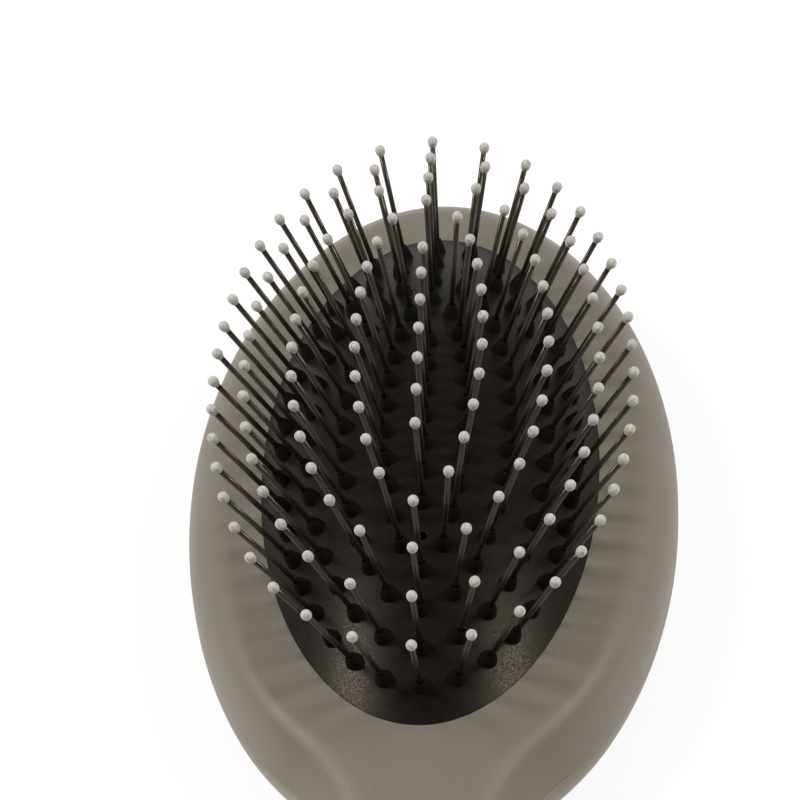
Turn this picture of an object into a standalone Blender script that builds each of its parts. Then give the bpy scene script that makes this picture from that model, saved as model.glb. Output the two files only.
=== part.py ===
"""Dog pin brush, lying on its back with its pins up and its handle towards -Y.

Two soft-touch shells hold a tray, and the tray clamps the flange of a domed rubber membrane.
The steel pins stand through bosses in that membrane, and their feet sit in strips of backing
below it. A ring of pins sinks as one, so each ring hangs from an empty of its own.
"""

import math

import bmesh
import bpy
import numpy as np
from mathutils import Matrix, Vector
from mathutils.geometry import delaunay_2d_cdt

MM = 0.001
BRUSH_NAME = "pin_brush"

# Head and handle in plan
HEAD_WIDTH = 75.6 * MM
HEAD_LENGTH = 128.0 * MM
HEAD_NEAR_HALF = 65.2 * MM  # half length of the slightly longer oval on the handle's side
NECK_WIDTH = 25.4 * MM
NECK_FROM_HEAD = 79.0 * MM  # from the head's centre to the narrowest place
GRIP_WIDTH = 31.0 * MM
GRIP_FROM_HEAD = 128.0 * MM  # from the head's centre to the widest place of the grip
HANDLE_END_FROM_HEAD = 170.0 * MM
SHOULDER_ANGLE = math.radians(-57.5)  # where the oval of the head turns into the neck
NECK_PULL = 10.0 * MM  # how long the neck's curve keeps the oval's direction
GRIP_PULL = 19.0 * MM  # how long the grip's curve stays parallel to the middle
END_SQUARENESS = 0.84  # under 1, the handle's end is fuller than an oval

# Heights, from the flat back up
RIM_HEIGHT = 17.5 * MM  # the face round the cushion
WIDEST_BELOW_RIM = 10.5 * MM
PARTING_BELOW_RIM = 9.0 * MM  # beside the head
PARTING_RISE = 2.0 * MM  # how much higher the parting line runs along the handle
PARTING_RISES_FROM_Y = -46.0 * MM
PARTING_RISES_TO_Y = -64.0 * MM
GRIP_RISE = 3.6 * MM  # how far the grip's top stands above the face
GRIP_END_DROP = 2.2 * MM  # how far the grip's top falls again towards the handle's end
NECK_DIP = 0.8 * MM
NECK_DIP_REACH = 16.0 * MM

# Edge of the face: a soft rounding beside the head, and at the neck a crest over a steep flank
EDGE_ROUND = 7.0 * MM
CREST_IN = 6.7 * MM  # from the widest line to where the crest runs into the face
CREST_OUT = 3.1 * MM  # from the widest line to the crest's foot
CREST_DROP = 2.0 * MM
CREST_TURN = math.radians(64)  # how far the crest turns over, down to its foot
CREST_NARROWING = 0.63  # the share of both insets that the crest loses where it runs out beside the head
CREST_NARROWS_FROM_Y = -66.0 * MM
CREST_NARROWS_TO_Y = -34.0 * MM
FLANK_FOOT = 0.5 * MM  # the flank ends this far above the parting line
FLANK_FULLNESS = 0.8  # at 1 the flank is straight, and it gets fuller below that
FLANK_STARTS_Y = -146.0 * MM  # on the grip, where the flank grows out of the rounding
FLANK_FULL_FROM_Y = -108.0 * MM
FLANK_FULL_TO_Y = -58.0 * MM
FLANK_GONE_Y = -24.0 * MM
PARTING_INSET = 0.02 * MM
BACK_ROUND = 7.0 * MM
LAND_MARGIN = 11.2 * MM  # from the outline's ends to the flat back's middle line
WALL = 2.2 * MM
HAUNCH_DEPTH = 7.5 * MM  # below the face, where the upper shell's inner wall begins to lean in
HAUNCH_REACH = 3.9 * MM  # how far it has leaned in when it meets the ceiling
BACK_CORNER = 1.5 * MM  # below the widest line, where the back's inner wall begins to lean in

# Clearances
SEAT_GAP = 0.3 * MM
OPENING_GAP = 0.33 * MM
MERGE_DISTANCE = 0.005 * MM

# Rubber membrane, let into the head's face
FRAME_WIDTH_BESIDE = 11.95 * MM  # from the membrane to the widest line, at the sides
FRAME_WIDTH_AT_ENDS = 12.9 * MM
DOME_RISE = 10.9 * MM
DOME_POWER = 2.15
RUBBER = 1.5 * MM
FLANGE_REACH = 4.2 * MM
FLANGE_CHAMFER = 0.3 * MM
BOSS_BASE_RADIUS = 1.45 * MM
BOSS_HEIGHT = 2.0 * MM
VENT_RADIUS = 0.7 * MM

# Pins
PIN_WIRE_RADIUS = 0.38 * MM
PIN_TIP_RADIUS = 0.8 * MM
PIN_REACH = 18.9 * MM  # from the dome to the middle of the drop-shaped tip
PIN_TIP_TAPER = 1.3 * MM  # from the tip's middle down to where it meets the wire
PIN_LEAN_ACROSS = 0.88  # slope at the cushion's side edge, before the droop below
PIN_LEAN_DROOP = 0.31
PIN_LEAN_ALONG = 0.25
PIN_LEAN_SPREAD = 1.09
BACKING_WIDTH = 2.2 * MM
BACKING_THICKNESS = 0.8 * MM
BACKING_GAP = 0.4 * MM  # between the dome's underside and the backing
PIN_FOOT = 0.45 * MM  # how deep a pin stands in its backing

# Rings of pins, from the outermost in: how many pins each has, how many of them stand in the
# group at each end, and the ring's size as shares of the membrane's half width and half length
RING_PIN_COUNTS = (40, 32, 28, 22)
RING_END_COUNTS = (11, 7, 7, 5)
RING_SHARES_ACROSS = (0.853, 0.691, 0.475, 0.226)
RING_SHARES_ALONG = (0.896, 0.789, 0.675, 0.555)
CENTRE_PIN_COUNT = 7
CENTRE_PITCH = 5.63 * MM

# Tray under the membrane
TRAY_FLOOR = 1.4 * MM
TRAY_DEPTH = 3.0 * MM
TRAY_RIM = 4.0 * MM
TRAY_CHAMFER = 0.6 * MM

# Posts and spigots
POST_RADIUS = 2.2 * MM
POST_SPACING = 44.0 * MM
SPIGOT_RADIUS = 1.5 * MM
SPIGOT_LENGTH = 3.5 * MM
SOCKET_WALL = 1.3 * MM
SPIGOT_FROM_NECK = 12.0 * MM
SPIGOT_FROM_END = 20.0 * MM
TONGUE = 1.0 * MM
TONGUE_HEIGHT = 1.3 * MM

# How finely the shapes are cut
HEAD_STEPS = 20
NECK_STEPS = 6
HANDLE_STEPS = 6
END_STEPS = 7
OVAL_STEPS = 48
OVAL_SAMPLES = 1440
PIN_SIDES = 6
ROUND_SIDES = 12
EDGE_SHARES = (0.0, 0.16, 0.33, 0.5, 0.67, 0.84, 1.0)  # of the way from the face to the parting line
BACK_LEVELS = (30.0, 55.0, 75.0, 90.0)  # degrees round the back's edge
HAUNCH_LEVELS = ((0.0, 0.0), (0.4, 0.45), (1.0, 0.85))  # shares of its reach and its rise
TIP_LEVELS = (-5.0, 42.0)  # degrees of latitude on the round end of a pin's tip
EMPTY_SIZE = 10.0 * MM

HALF_CUSHION = (HEAD_WIDTH / 2 - FRAME_WIDTH_BESIDE, HEAD_LENGTH / 2 - FRAME_WIDTH_AT_ENDS)
HALF_OPENING = (HALF_CUSHION[0] + OPENING_GAP, HALF_CUSHION[1] + OPENING_GAP)
HEAD_CENTRE_Y = (HANDLE_END_FROM_HEAD - HEAD_LENGTH / 2) / 2
PIN_HOLE_RADIUS = PIN_WIRE_RADIUS + SEAT_GAP
BACK_Z = -RIM_HEIGHT
PARTING_Z = -PARTING_BELOW_RIM
WIDEST_Z = -WIDEST_BELOW_RIM
BACK_EDGE_Z = PARTING_Z - SEAT_GAP / 2
CEILING_Z = -WALL
FLANGE_TOP_Z = CEILING_Z - SEAT_GAP
FLANGE_BOTTOM_Z = FLANGE_TOP_Z - RUBBER
TRAY_TOP_Z = FLANGE_BOTTOM_Z - SEAT_GAP
TRAY_BOTTOM_Z = TRAY_TOP_Z - TRAY_DEPTH


def clear_scene():
    for obj in list(bpy.data.objects):
        bpy.data.objects.remove(obj, do_unlink=True)


def new_collection(name):
    collection = bpy.data.collections.new(name)
    bpy.context.scene.collection.children.link(collection)
    return collection


def finish_material(name, color, roughness, metallic=0.0):
    material = bpy.data.materials.new(name)
    material.use_nodes = True
    shader = material.node_tree.nodes["Principled BSDF"]
    shader.inputs["Base Color"].default_value = (*color, 1.0)
    shader.inputs["Roughness"].default_value = roughness
    shader.inputs["Metallic"].default_value = metallic
    return material


def new_object(name, bm, collection, parent, material=None, sharp_degrees=35.0):
    """Turns a bmesh into an object, shaded smooth but for its sharp edges."""
    mesh = bpy.data.meshes.new(name)
    bm.to_mesh(mesh)
    bm.free()
    obj = bpy.data.objects.new(name, mesh)
    collection.objects.link(obj)
    obj.parent = parent
    if material:
        mesh.materials.append(material)
    mesh.shade_smooth()
    mesh.set_sharp_from_angle(angle=math.radians(sharp_degrees))
    return obj


def new_empty(name, collection, parent=None, location=(0.0, 0.0, 0.0)):
    empty = bpy.data.objects.new(name, None)
    empty.empty_display_size = EMPTY_SIZE
    empty.location = location
    collection.objects.link(empty)
    empty.parent = parent
    return empty


def boolean(obj, tool, operation):
    modifier = obj.modifiers.new(tool.name, "BOOLEAN")
    modifier.operation = operation
    modifier.solver = "EXACT"
    modifier.object = tool


def smooth_step(low, high, value):
    share = np.clip((value - low) / (high - low), 0.0, 1.0)
    return share * share * (3.0 - 2.0 * share)


# Plan of the body, seen from above, from the end of the handle round the right side


def bezier(start, pull_start, pull_end, end, share):
    share = share[:, None]
    rest = 1.0 - share
    first = start * rest**3 + 3.0 * pull_start * rest**2 * share
    return first + 3.0 * pull_end * rest * share**2 + end * share**3


def head_outline():
    angle = np.linspace(SHOULDER_ANGLE, math.pi / 2, HEAD_STEPS + 1)
    half_length = np.where(angle < 0.0, HEAD_NEAR_HALF, HEAD_LENGTH / 2)
    return np.stack([HEAD_WIDTH / 2 * np.cos(angle), half_length * np.sin(angle)], 1)


def neck_outline():
    shoulder = head_outline()[0]
    along = np.array([-HEAD_WIDTH / 2 * math.sin(SHOULDER_ANGLE), HEAD_NEAR_HALF * math.cos(SHOULDER_ANGLE)])
    along /= np.linalg.norm(along)
    neck = np.array([NECK_WIDTH / 2, -NECK_FROM_HEAD])
    pull = np.array([0.0, NECK_PULL])
    share = np.linspace(0.0, 1.0, NECK_STEPS + 1)
    return bezier(neck, neck + pull, shoulder - along * NECK_PULL, shoulder, share)


def handle_outline():
    grip = np.array([GRIP_WIDTH / 2, -GRIP_FROM_HEAD])
    neck = np.array([NECK_WIDTH / 2, -NECK_FROM_HEAD])
    pull = np.array([0.0, GRIP_PULL])
    share = np.linspace(0.0, 1.0, HANDLE_STEPS + 1)
    return bezier(grip, grip + pull, neck - pull, neck, share)


def end_outline():
    angle = np.linspace(-math.pi / 2, 0.0, END_STEPS + 1)
    length = HANDLE_END_FROM_HEAD - GRIP_FROM_HEAD
    across = np.abs(np.cos(angle)) ** END_SQUARENESS
    across[0] = 0.0
    return np.stack([GRIP_WIDTH / 2 * across, -GRIP_FROM_HEAD + length * np.sin(angle)], 1)


def body_outline():
    """Points of the widest line, and how many of them belong to the handle and neck."""
    parts = [end_outline(), handle_outline()[1:], neck_outline()[1:], head_outline()[1:]]
    return np.concatenate(parts), END_STEPS + HANDLE_STEPS + NECK_STEPS + 1


def outward_normals(outline):
    ahead = np.roll(outline, -1, 0)
    behind = np.roll(outline, 1, 0)
    ahead[-1] = outline[-2] * (-1.0, 1.0)
    behind[0] = outline[1] * (-1.0, 1.0)
    along = ahead - behind
    normal = np.stack([along[:, 1], -along[:, 0]], 1)
    return normal / np.linalg.norm(normal, axis=1)[:, None]


def middle_line(outline, first_y, last_y):
    """Points on the body's middle, one beside each point of the outline."""
    share = (outline[:, 1] - outline[0, 1]) / (outline[-1, 1] - outline[0, 1])
    return np.stack([np.zeros(len(outline)), first_y + share * (last_y - first_y)], 1)


def inner_line(outline, handle_points):
    """The cushion's opening beside the head, and the middle of the body along the handle."""
    head_points = len(outline) - handle_points
    angle = np.linspace(-math.pi / 2, math.pi / 2, head_points + 1)
    opening = np.stack([HALF_OPENING[0] * np.cos(angle), HALF_OPENING[1] * np.sin(angle)], 1)
    opening[[0, -1], 0] = 0.0
    handle_end_y = -HANDLE_END_FROM_HEAD + 2.0 * EDGE_ROUND
    middle = middle_line(outline[:handle_points], handle_end_y, opening[0, 1])
    return np.concatenate([middle, opening[1:]])


# Heights over that plan


def top_lift(y):
    """How far the top stands above the face: a dip at the neck and a swell at the grip."""
    dip = np.exp(-(((y + NECK_FROM_HEAD) / NECK_DIP_REACH) ** 2))
    swell = smooth_step(-NECK_FROM_HEAD, -GRIP_FROM_HEAD, y)
    droop = smooth_step(-GRIP_FROM_HEAD, -HANDLE_END_FROM_HEAD, y)
    return -NECK_DIP * dip + GRIP_RISE * swell - GRIP_END_DROP * droop


def flank_strength(y):
    """Full round the neck, gone beside the head and at the handle's end."""
    near_head = 1.0 - smooth_step(FLANK_FULL_TO_Y, FLANK_GONE_Y, y)
    return near_head * smooth_step(FLANK_STARTS_Y, FLANK_FULL_FROM_Y, y)


def rounding_point(share):
    """Inset and drop of the quarter round beside the head."""
    angle = share * math.pi / 2
    return np.array([EDGE_ROUND * (1.0 - math.sin(angle)), EDGE_ROUND * (1.0 - math.cos(angle))])


def flank_points(share, y):
    """Inset and drop of the crest, which turns as part of an oval, and of the flank below it."""
    width = 1.0 - CREST_NARROWING * smooth_step(CREST_NARROWS_FROM_Y, CREST_NARROWS_TO_Y, y)
    if share < 0.5:
        angle = 2.0 * share * CREST_TURN
        inset = CREST_IN - (CREST_IN - CREST_OUT) * math.sin(angle) / math.sin(CREST_TURN)
        drop = CREST_DROP * (1.0 - math.cos(angle)) / (1.0 - math.cos(CREST_TURN))
    else:
        down = 2.0 * share - 1.0
        inset = CREST_OUT * (1.0 - down**FLANK_FULLNESS)
        drop = CREST_DROP + (PARTING_BELOW_RIM - FLANK_FOOT - CREST_DROP) * down
    return np.stack([width * inset, np.full(len(y), drop)], 1)


def back_levels():
    """Inset and height of the outer surface, from the parting line down to the flat back."""
    levels = [(PARTING_INSET, BACK_EDGE_Z), (0.0, WIDEST_Z)]
    depth = WIDEST_Z - BACK_Z
    for degrees in BACK_LEVELS:
        angle = math.radians(degrees)
        inset = BACK_ROUND * (1.0 - math.cos(angle))
        levels.append((inset, WIDEST_Z - depth * math.sin(angle)))
    return levels


def parting_lift(y):
    """How far the parting line stands above its height beside the head."""
    return PARTING_RISE * smooth_step(-PARTING_RISES_FROM_Y, -PARTING_RISES_TO_Y, -y)


def stretched(z, y):
    """Lifts a height of the upper shell: like the top at the face, like the parting line down there."""
    share = z / PARTING_Z
    return z + (1.0 - share) * top_lift(y) + share * parting_lift(y)


def back_stretched(z, y):
    """Lifts a height of the back shell: not at the flat back, and like the parting line at its edge."""
    share = min((z - BACK_Z) / (BACK_EDGE_Z - BACK_Z), z / PARTING_Z)
    return z + share * parting_lift(y)


def at_inset(outline, normals, inset, heights):
    """Points a distance in from the widest line, the same for all of them or one for each."""
    plan = outline - normals * np.reshape(inset, (-1, 1))
    plan[0, 0] = 0.0
    plan[-1, 0] = 0.0
    return np.column_stack([plan, heights])


def edge_row(outline, normals, share):
    """A row of the edge, which turns from the rounding into the flank towards the neck."""
    y = outline[:, 1]
    strength = flank_strength(y)[:, None]
    points = rounding_point(share) * (1.0 - strength) + flank_points(share, y) * strength
    return at_inset(outline, normals, points[:, 0], stretched(-points[:, 1], y))


def face_row(outer, inner, share, drop):
    """A row of points a share of the way from the face's edge to the inner line."""
    plan = outer + (inner - outer) * share
    plan[[0, -1], 0] = 0.0
    return np.column_stack([plan, top_lift(plan[:, 1]) - drop])


def face_shell_rows(outline, handle_points):
    normals = outward_normals(outline)
    outer = edge_row(outline, normals, 0.0)[:, :2]
    inner = inner_line(outline, handle_points)
    rows = [face_row(outer, inner, share, 0.0) for share in (1.0, 0.5)]
    rows += [edge_row(outline, normals, share) for share in EDGE_SHARES]
    edge = PARTING_Z + SEAT_GAP / 2 + parting_lift(outline[:, 1])
    rows.append(at_inset(outline, normals, PARTING_INSET, edge))
    rows.append(at_inset(outline, normals, WALL, edge))
    for share, rise in HAUNCH_LEVELS:
        level = np.full(len(outline), -HAUNCH_DEPTH + rise * (HAUNCH_DEPTH - WALL))
        rows.append(at_inset(outline, normals, WALL + share * HAUNCH_REACH, stretched(level, outline[:, 1])))
    rows.append(face_row(outer, inner, 0.25, WALL))
    rows.append(face_row(outer, inner, 1.0, WALL))
    return rows


def back_shell_rows(outline):
    """From the middle of the flat back up to the parting line, over the tongue and back inside."""
    normals = outward_normals(outline)
    count = len(outline)
    y = outline[:, 1]
    middle = middle_line(outline, outline[0, 1] + LAND_MARGIN, outline[-1, 1] - LAND_MARGIN)
    outside = [at_inset(outline, normals, inset, back_stretched(z, y)) for inset, z in back_levels()]
    tongue = WALL + SEAT_GAP
    inside = [
        (tongue, BACK_EDGE_Z),
        (tongue, PARTING_Z + TONGUE_HEIGHT),
        (tongue + TONGUE, PARTING_Z + TONGUE_HEIGHT),
        (tongue + TONGUE, WIDEST_Z - BACK_CORNER),
        (BACK_ROUND, BACK_Z + WALL),
    ]
    rows = [np.column_stack([middle, np.full(count, BACK_Z)])]
    rows += reversed(outside)
    rows += [at_inset(outline, normals, inset, back_stretched(z, y)) for inset, z in inside]
    rows.append(np.column_stack([middle, np.full(count, BACK_Z + WALL)]))
    return rows


def half_shell(rows, first_closed):
    """Quads between neighbouring rows. The last row meets the first one from a column on."""
    bm = bmesh.new()
    grid = [[bm.verts.new(point) for point in row] for row in rows]
    for lower, upper in zip(grid, grid[1:]):
        for k in range(len(lower) - 1):
            bm.faces.new((lower[k], lower[k + 1], upper[k + 1], upper[k]))
    for k in range(first_closed, len(grid[0]) - 1):
        bm.faces.new((grid[-1][k], grid[-1][k + 1], grid[0][k + 1], grid[0][k]))
    bmesh.ops.recalc_face_normals(bm, faces=bm.faces[:])
    return bm


def mirror_at_middle(obj):
    """Completes a half that is open at X = 0."""
    modifier = obj.modifiers.new("other_half", "MIRROR")
    modifier.use_mirror_merge = True
    modifier.merge_threshold = MERGE_DISTANCE


def upright(radius, low, high, place, tools, name, parent, sides=ROUND_SIDES):
    """A cylinder standing at a place in plan, used to add or cut a post or a socket."""
    bm = bmesh.new()
    matrix = Matrix.Translation((place[0], place[1], (low + high) / 2))
    bmesh.ops.create_cone(
        bm, cap_ends=True, segments=sides, radius1=radius, radius2=radius, depth=high - low, matrix=matrix
    )
    tool = new_object(name, bm, tools, parent)
    tool.hide_render = True
    tool.display_type = "WIRE"
    return tool


def spigot_places():
    first = -NECK_FROM_HEAD - SPIGOT_FROM_NECK
    last = -HANDLE_END_FROM_HEAD + SPIGOT_FROM_END
    return (first, (first + last) / 2, last)


def build_face_shell(parts, tools, head):
    outline, handle_points = body_outline()
    rows = face_shell_rows(outline, handle_points)
    grey = finish_material("soft_touch_face", (0.205, 0.182, 0.156), 0.55)
    shell = new_object("face_shell", half_shell(rows, handle_points - 1), parts, head, grey)
    mirror_at_middle(shell)
    for number, y in enumerate(spigot_places(), 1):
        top = top_lift(y) - WALL / 2
        bottom = PARTING_Z + 2.0 * SEAT_GAP
        outer = SPIGOT_RADIUS + SEAT_GAP + SOCKET_WALL
        boolean(shell, upright(outer, bottom, top, (0.0, y), tools, f"socket_{number}", head), "UNION")
        bore_top = bottom + SPIGOT_LENGTH + SEAT_GAP
        bore_radius = SPIGOT_RADIUS + SEAT_GAP
        bore = upright(bore_radius, bottom - WALL, bore_top, (0.0, y), tools, f"socket_bore_{number}", head)
        boolean(shell, bore, "DIFFERENCE")
    return shell


def build_back_shell(parts, tools, head):
    outline, _ = body_outline()
    grey = finish_material("soft_touch_back", (0.195, 0.172, 0.148), 0.6)
    shell = new_object("back_shell", half_shell(back_shell_rows(outline), len(outline)), parts, head, grey)
    mirror_at_middle(shell)
    floor = BACK_Z + WALL / 2
    post_top = TRAY_BOTTOM_Z - SEAT_GAP
    for number, y in enumerate((-POST_SPACING / 2, POST_SPACING / 2), 1):
        for side in (-1, 1):
            place = (side * HALF_CUSHION[0] / 2, y)
            name = f"tray_post_{number}_{'left' if side < 0 else 'right'}"
            boolean(shell, upright(POST_RADIUS, floor, post_top, place, tools, name, head), "UNION")
    for number, y in enumerate(spigot_places(), 1):
        shoulder = PARTING_Z + SEAT_GAP
        outer = SPIGOT_RADIUS + SEAT_GAP + SOCKET_WALL
        post = upright(outer, floor, shoulder, (0.0, y), tools, f"spigot_post_{number}", head)
        boolean(shell, post, "UNION")
        tip = shoulder + SPIGOT_LENGTH
        boolean(shell, upright(SPIGOT_RADIUS, floor, tip, (0.0, y), tools, f"spigot_{number}", head), "UNION")
    return shell


# Ovals for the cushion and the tray


def oval_loop(bm, outset, z, steps=OVAL_STEPS):
    angles = [2.0 * math.pi * k / steps for k in range(steps)]
    half_x = HALF_CUSHION[0] + outset
    half_y = HALF_CUSHION[1] + outset
    return [bm.verts.new((half_x * math.cos(a), half_y * math.sin(a), z)) for a in angles]


def bridge(bm, first, second):
    count = len(first)
    for k in range(count):
        following = (k + 1) % count
        bm.faces.new((first[k], first[following], second[following], second[k]))


def build_tray(parts, head):
    """A flat floor with a rim that stands up under the membrane's flange."""
    bm = bmesh.new()
    outer = FLANGE_REACH
    inner = FLANGE_REACH - TRAY_RIM
    profile = (
        (inner, TRAY_BOTTOM_Z + TRAY_FLOOR),
        (inner, TRAY_TOP_Z),
        (outer, TRAY_TOP_Z),
        (outer, TRAY_BOTTOM_Z + TRAY_CHAMFER),
        (outer - TRAY_CHAMFER, TRAY_BOTTOM_Z),
    )
    loops = [oval_loop(bm, outset, z) for outset, z in profile]
    for first, second in zip(loops, loops[1:]):
        bridge(bm, first, second)
    bm.faces.new(loops[0])
    bm.faces.new(loops[-1])
    bmesh.ops.recalc_face_normals(bm, faces=bm.faces[:])
    plastic = finish_material("tray_plastic", (0.05, 0.05, 0.05), 0.5)
    return new_object("cushion_tray", bm, parts, head, plastic)


# The dome and its pins


def dome_height(x, y):
    radius = math.hypot(x / HALF_CUSHION[0], y / HALF_CUSHION[1])
    return DOME_RISE * (1.0 - min(radius, 1.0) ** DOME_POWER)


def dome_normal(x, y):
    step = 0.01 * MM
    slope_x = (dome_height(x + step, y) - dome_height(x - step, y)) / (2.0 * step)
    slope_y = (dome_height(x, y + step) - dome_height(x, y - step)) / (2.0 * step)
    return Vector((-slope_x, -slope_y, 1.0)).normalized()


def underside_height(x, y):
    """Height of the dome's underside, a rubber's thickness in from the outer face."""
    return dome_height(x, y) - RUBBER / dome_normal(x, y).z


def pin_direction(x, y):
    across = x / HALF_CUSHION[0]
    along = y / HALF_CUSHION[1]
    lean_x = PIN_LEAN_ACROSS * across * (1.0 - PIN_LEAN_DROOP * across**2)
    lean_y = PIN_LEAN_ALONG * along * (1.0 + PIN_LEAN_SPREAD * along**2)
    return Vector((lean_x, lean_y, 1.0)).normalized()


def ring_places(count, share_x, share_y):
    """Places spaced evenly along an oval, from its near end round the right side."""
    half_x = HALF_CUSHION[0] * share_x
    half_y = HALF_CUSHION[1] * share_y
    angle = np.linspace(-math.pi / 2, 1.5 * math.pi, OVAL_SAMPLES + 1)
    x = half_x * np.cos(angle)
    y = half_y * np.sin(angle)
    length = np.concatenate([[0.0], np.cumsum(np.hypot(np.diff(x), np.diff(y)))])
    wanted = np.arange(count) * length[-1] / count
    return [(float(np.interp(s, length, x)), float(np.interp(s, length, y))) for s in wanted]


def ring_groups():
    """The pins of each ring in four groups: near, right, far and left."""
    groups = []
    rings = zip(RING_PIN_COUNTS, RING_END_COUNTS, RING_SHARES_ACROSS, RING_SHARES_ALONG)
    for number, (count, end_count, share_x, share_y) in enumerate(rings, 1):
        name = f"ring_{number}"
        places = ring_places(count, share_x, share_y)
        side_count = (count - 2 * end_count) // 2
        first = -(end_count // 2)
        sizes = {"near": end_count, "right": side_count, "far": end_count, "left": side_count}
        for side, size in sizes.items():
            chosen = [places[(first + k) % count] for k in range(size)]
            groups.append((name, f"{name}_pins_{side}", chosen))
            first += size
    return groups


def centre_places():
    middle = (CENTRE_PIN_COUNT - 1) / 2
    return [(0.0, (k - middle) * CENTRE_PITCH) for k in range(CENTRE_PIN_COUNT)]


def vent_place():
    inner_ring_near = -HALF_CUSHION[1] * RING_SHARES_ALONG[-1]
    return (0.0, (inner_ring_near + centre_places()[0][1]) / 2)


def circle_about(centre, direction, radius, sides=PIN_SIDES):
    """Points of a circle round a pin's axis, square to it."""
    side = direction.cross(Vector((0.0, 1.0, 0.0))).normalized()
    other = direction.cross(side)
    turns = [2.0 * math.pi * k / sides for k in range(sides)]
    return [centre + radius * (side * math.cos(a) + other * math.sin(a)) for a in turns]


def sheet_round_holes(bm, rim, loops):
    """Triangles between an oval rim and the hole loops inside it, laid out in plan."""
    groups = [rim] + loops
    verts = [vert for group in groups for vert in group]
    owner = [number for number, group in enumerate(groups) for _ in group]
    edges = []
    start = 0
    for group in groups:
        size = len(group)
        edges += [(start + k, start + (k + 1) % size) for k in range(size)]
        start += size
    plan = [Vector((vert.co.x / MM, vert.co.y / MM)) for vert in verts]
    result = delaunay_2d_cdt(plan, edges, [], 1, 1e-6)
    source = [ids[0] for ids in result[3]]
    for triangle in result[2]:
        corners = [source[k] for k in triangle]
        owners = {owner[k] for k in corners}
        if len(owners) == 1 and 0 not in owners:
            continue
        bm.faces.new([verts[k] for k in corners])


def build_membrane(parts, head):
    """The rubber dome with a boss and a hole for each pin, its skirt and its flange."""
    bm = bmesh.new()
    places = [place for _, _, group in ring_groups() for place in group] + centre_places()
    upper_loops = []
    lower_loops = []
    for x, y in places:
        surface = Vector((x, y, dome_height(x, y)))
        direction = pin_direction(x, y)
        thickness = RUBBER / direction.dot(dome_normal(x, y))
        base = []
        for point in circle_about(surface, direction, BOSS_BASE_RADIUS):
            base.append(bm.verts.new((point.x, point.y, dome_height(point.x, point.y))))
        top = surface + direction * BOSS_HEIGHT
        mouth = [bm.verts.new(p) for p in circle_about(top, direction, PIN_HOLE_RADIUS)]
        foot = []
        for point in circle_about(surface - direction * thickness, direction, PIN_HOLE_RADIUS):
            foot.append(bm.verts.new((point.x, point.y, underside_height(point.x, point.y))))
        bridge(bm, base, mouth)
        bridge(bm, mouth, foot)
        upper_loops.append(base)
        lower_loops.append(foot)
    vent = vent_place()
    vent_loops = []
    for height in (dome_height, underside_height):
        ring = circle_about(Vector((*vent, 0.0)), Vector((0.0, 0.0, 1.0)), VENT_RADIUS)
        vent_loops.append([bm.verts.new((p.x, p.y, height(p.x, p.y))) for p in ring])
    bridge(bm, vent_loops[0], vent_loops[1])
    upper_loops.append(vent_loops[0])
    lower_loops.append(vent_loops[1])
    inside = -RUBBER
    underside_rim = underside_height(HALF_CUSHION[0] + inside, 0.0)
    profile = (
        (0.0, 0.0),
        (0.0, FLANGE_TOP_Z),
        (FLANGE_REACH - FLANGE_CHAMFER, FLANGE_TOP_Z),
        (FLANGE_REACH, FLANGE_TOP_Z - FLANGE_CHAMFER),
        (FLANGE_REACH, FLANGE_BOTTOM_Z),
        (inside, FLANGE_BOTTOM_Z),
        (inside, underside_rim),
    )
    loops = [oval_loop(bm, outset, z) for outset, z in profile]
    for first, second in zip(loops, loops[1:]):
        bridge(bm, first, second)
    sheet_round_holes(bm, loops[0], upper_loops)
    sheet_round_holes(bm, loops[-1], lower_loops)
    bmesh.ops.recalc_face_normals(bm, faces=bm.faces[:])
    rubber = finish_material("black_rubber", (0.012, 0.011, 0.009), 0.5)
    return new_object("cushion_membrane", bm, parts, head, rubber)


def foot_depth(x, y):
    """Distance along a pin from the dome's outer face to the top of its backing."""
    return (RUBBER + BACKING_GAP) / pin_direction(x, y).dot(dome_normal(x, y))


def add_pin(bm, x, y):
    """One pin turned about its own axis: a wire from its foot, then a drop-shaped tip."""
    surface = Vector((x, y, dome_height(x, y)))
    direction = pin_direction(x, y)
    foot = -foot_depth(x, y) - PIN_FOOT
    profile = [(foot, PIN_WIRE_RADIUS), (PIN_REACH - PIN_TIP_TAPER, PIN_WIRE_RADIUS)]
    for degrees in TIP_LEVELS:
        angle = math.radians(degrees)
        along = PIN_REACH + PIN_TIP_RADIUS * math.sin(angle)
        profile.append((along, PIN_TIP_RADIUS * math.cos(angle)))
    loops = []
    for along, radius in profile:
        ring = circle_about(surface + direction * along, direction, radius)
        loops.append([bm.verts.new(p) for p in ring])
    for first, second in zip(loops, loops[1:]):
        bridge(bm, first, second)
    bm.faces.new(loops[0])
    tip = bm.verts.new(surface + direction * (PIN_REACH + PIN_TIP_RADIUS))
    last = loops[-1]
    for k in range(len(last)):
        bm.faces.new((last[k], last[(k + 1) % len(last)], tip))


def backing_station(x, y, along):
    """Four corners of the backing strip where a pin stands in it."""
    direction = pin_direction(x, y)
    surface = Vector((x, y, dome_height(x, y)))
    centre = surface - direction * foot_depth(x, y)
    along = Vector((along[0], along[1], 0.0)).normalized()
    outward = Vector((along.y, -along.x, 0.0))
    normal = dome_normal(x, y)
    tilt = -normal.dot(outward) / normal.z
    corners = []
    for side, drop in ((-1, 0.0), (1, 0.0), (1, BACKING_THICKNESS), (-1, BACKING_THICKNESS)):
        offset = outward * (side * BACKING_WIDTH / 2)
        lift = tilt * side * BACKING_WIDTH / 2
        corners.append(centre + offset + Vector((0.0, 0.0, lift - drop)))
    return corners


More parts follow.
